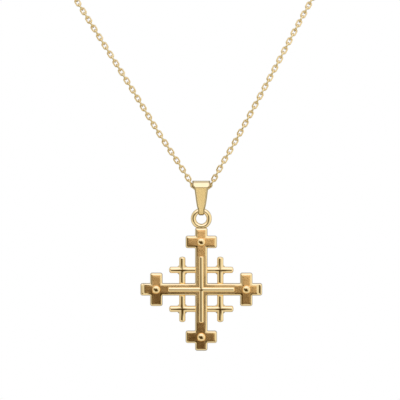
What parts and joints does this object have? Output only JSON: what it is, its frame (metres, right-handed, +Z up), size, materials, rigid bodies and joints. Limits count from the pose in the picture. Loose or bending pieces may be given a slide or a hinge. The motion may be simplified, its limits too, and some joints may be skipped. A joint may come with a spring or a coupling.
{
  "type": "jerusalem cross necklace",
  "caption": "Gold Jerusalem cross pendant with crossbar ends, small corner crosses and a ring, hung by a tapered folded bail on a fine cable chain with a plain ring clasp.",
  "frame": {"origin": "the point at the nape where the back of the chain rests", "axes": "+Z up, the wearer faces -Y, +X towards the wearer's left; the pendant's front faces -Y"},
  "size_m": [0.1164, 0.104, 0.1522],
  "materials": {
    "pendant_gold": "cast and polished yellow gold",
    "chain_gold": "bright drawn yellow gold wire"
  },
  "bodies": {
    "strand": {"chain": "chain_gold", "clasp": "chain_gold"},
    "bail": {"bail": "pendant_gold"},
    "pendant": {"cross": "pendant_gold"}
  },
  "joints": [
    {"name": "bail_swing", "type": "hinge", "parent": "strand", "child": "bail", "pos_m": [0, -0.1014, -0.117], "axis": [1, 0, 0], "range_deg": [-90, 90]},
    {"name": "cross_swing", "type": "hinge", "parent": "bail", "child": "pendant", "pos_m": [0, -0.1014, -0.12152], "axis": [1, 0, 0], "range_deg": [-90, 90]}
  ]
}
